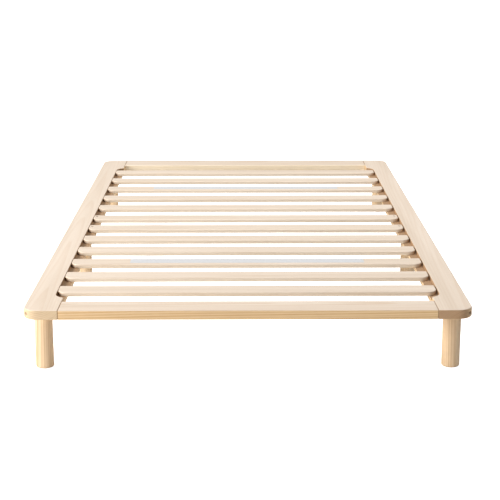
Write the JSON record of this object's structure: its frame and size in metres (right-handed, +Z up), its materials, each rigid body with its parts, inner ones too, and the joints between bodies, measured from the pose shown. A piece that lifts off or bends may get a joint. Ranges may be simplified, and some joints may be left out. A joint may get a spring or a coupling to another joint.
{
  "type": "slatted bed base",
  "caption": "Low slatted wooden bed base: side rails with rounded corners, butted end rails, flat slats lying in a rebate, and round screw-in legs.",
  "frame": {"origin": "on the floor, in the middle of the base's length and width", "axes": "+X to the right seen from the foot end, +Y towards the head end, +Z up"},
  "size_m": [1.15, 2.11, 0.1883],
  "materials": {
    "rail_pine": "clear matt lacquer on planed pine",
    "slat_pine": "clear matt lacquer on planed pine",
    "leg_pine": "clear matt lacquer on turned pine",
    "beech": "plain, fluted dowel stock",
    "label_film": "blank, matt, stuck down",
    "zinc_steel": "bright zinc plate",
    "black_steel": "black oxide"
  },
  "bodies": {
    "frame": {"side_rail_left": "rail_pine", "side_rail_right": "rail_pine", "foot_rail": "rail_pine", "head_rail": "rail_pine", "leg_inserts": "zinc_steel", "corner_dowels": "beech", "slat_pegs": "beech", "corner_bolts_foot_left": "black_steel", "barrel_nuts_foot_left": "zinc_steel", "corner_bolts_foot_right": "black_steel", "barrel_nuts_foot_right": "zinc_steel", "corner_bolts_head_left": "black_steel", "barrel_nuts_head_left": "zinc_steel", "corner_bolts_head_right": "black_steel", "barrel_nuts_head_right": "zinc_steel", "slat_06": "slat_pine", "slat_screws_06": "black_steel", "slat_07": "slat_pine", "slat_screws_07": "black_steel"},
    "slat_01": {"slat_01": "slat_pine"},
    "slat_02": {"slat_02": "slat_pine"},
    "slat_03": {"slat_03": "slat_pine", "label_head": "label_film"},
    "slat_04": {"slat_04": "slat_pine"},
    "slat_05": {"slat_05": "slat_pine"},
    "slat_08": {"slat_08": "slat_pine"},
    "slat_09": {"slat_09": "slat_pine"},
    "slat_10": {"slat_10": "slat_pine", "label_foot": "label_film"},
    "slat_11": {"slat_11": "slat_pine"},
    "slat_12": {"slat_12": "slat_pine"},
    "leg_foot_left": {"leg_foot_left": "leg_pine", "leg_stud_foot_left": "zinc_steel"},
    "leg_foot_right": {"leg_foot_right": "leg_pine", "leg_stud_foot_right": "zinc_steel"},
    "leg_middle_left": {"leg_middle_left": "leg_pine", "leg_stud_middle_left": "zinc_steel"},
    "leg_middle_right": {"leg_middle_right": "leg_pine", "leg_stud_middle_right": "zinc_steel"},
    "leg_head_left": {"leg_head_left": "leg_pine", "leg_stud_head_left": "zinc_steel"},
    "leg_head_right": {"leg_head_right": "leg_pine", "leg_stud_head_right": "zinc_steel"}
  },
  "joints": [
    {"name": "slat_01_lift", "type": "slide", "parent": "frame", "child": "slat_01", "axis": [0, 0, 1], "range_m": [0, 0.1]},
    {"name": "slat_02_lift", "type": "slide", "parent": "frame", "child": "slat_02", "axis": [0, 0, 1], "range_m": [0, 0.1]},
    {"name": "slat_03_lift", "type": "slide", "parent": "frame", "child": "slat_03", "axis": [0, 0, 1], "range_m": [0, 0.1]},
    {"name": "slat_04_lift", "type": "slide", "parent": "frame", "child": "slat_04", "axis": [0, 0, 1], "range_m": [0, 0.1]},
    {"name": "slat_05_lift", "type": "slide", "parent": "frame", "child": "slat_05", "axis": [0, 0, 1], "range_m": [0, 0.1]},
    {"name": "slat_08_lift", "type": "slide", "parent": "frame", "child": "slat_08", "axis": [0, 0, 1], "range_m": [0, 0.1]},
    {"name": "slat_09_lift", "type": "slide", "parent": "frame", "child": "slat_09", "axis": [0, 0, 1], "range_m": [0, 0.1]},
    {"name": "slat_10_lift", "type": "slide", "parent": "frame", "child": "slat_10", "axis": [0, 0, 1], "range_m": [0, 0.1]},
    {"name": "slat_11_lift", "type": "slide", "parent": "frame", "child": "slat_11", "axis": [0, 0, 1], "range_m": [0, 0.1]},
    {"name": "slat_12_lift", "type": "slide", "parent": "frame", "child": "slat_12", "axis": [0, 0, 1], "range_m": [0, 0.1]},
    {"name": "leg_foot_left_unscrew", "type": "slide", "parent": "frame", "child": "leg_foot_left", "axis": [0, 0, -1], "range_m": [0, 0.02]},
    {"name": "leg_foot_right_unscrew", "type": "slide", "parent": "frame", "child": "leg_foot_right", "axis": [0, 0, -1], "range_m": [0, 0.02]},
    {"name": "leg_middle_left_unscrew", "type": "slide", "parent": "frame", "child": "leg_middle_left", "axis": [0, 0, -1], "range_m": [0, 0.02]},
    {"name": "leg_middle_right_unscrew", "type": "slide", "parent": "frame", "child": "leg_middle_right", "axis": [0, 0, -1], "range_m": [0, 0.02]},
    {"name": "leg_head_left_unscrew", "type": "slide", "parent": "frame", "child": "leg_head_left", "axis": [0, 0, -1], "range_m": [0, 0.02]},
    {"name": "leg_head_right_unscrew", "type": "slide", "parent": "frame", "child": "leg_head_right", "axis": [0, 0, -1], "range_m": [0, 0.02]}
  ]
}
